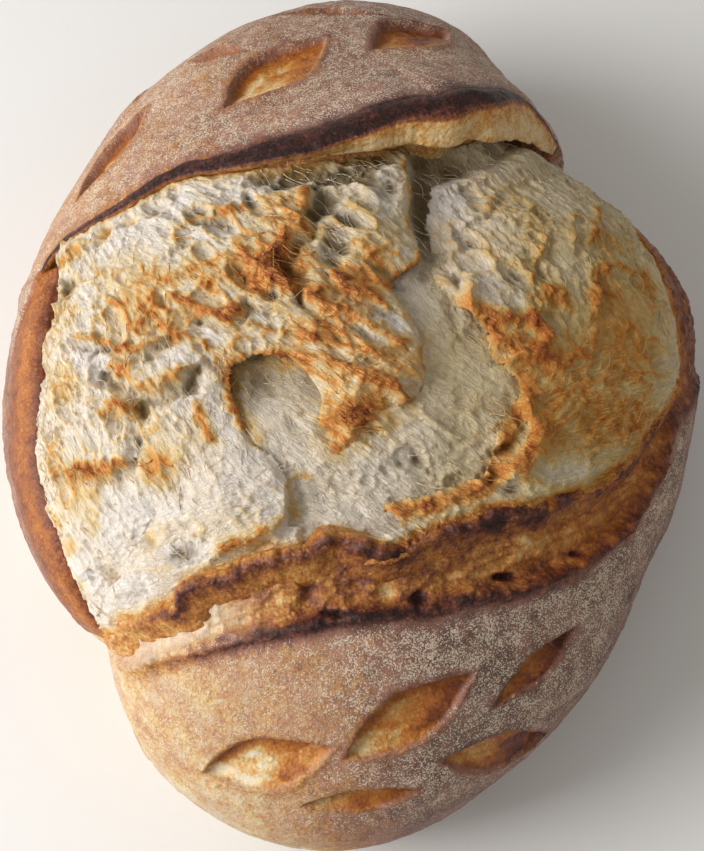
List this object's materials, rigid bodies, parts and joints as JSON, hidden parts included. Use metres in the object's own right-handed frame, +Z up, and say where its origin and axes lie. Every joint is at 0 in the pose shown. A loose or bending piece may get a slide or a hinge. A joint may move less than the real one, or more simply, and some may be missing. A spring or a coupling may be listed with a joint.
{
  "type": "sourdough loaf",
  "caption": "Round hand-shaped loaf of bread, burst open along its slash, with a raised ear of crust and a flat foot.",
  "frame": {"origin": "middle of the loaf's box, at the level of the flat foot it rests on", "axes": "+Z up; +Y along the loaf's longest horizontal extent, towards the half behind the raised ear; +X to the right seen from the front half"},
  "size_m": [0.2014, 0.2592, 0.1079],
  "materials": {
    "crust": null
  },
  "bodies": {
    "root": {"loaf": "crust"}
  },
  "joints": []
}
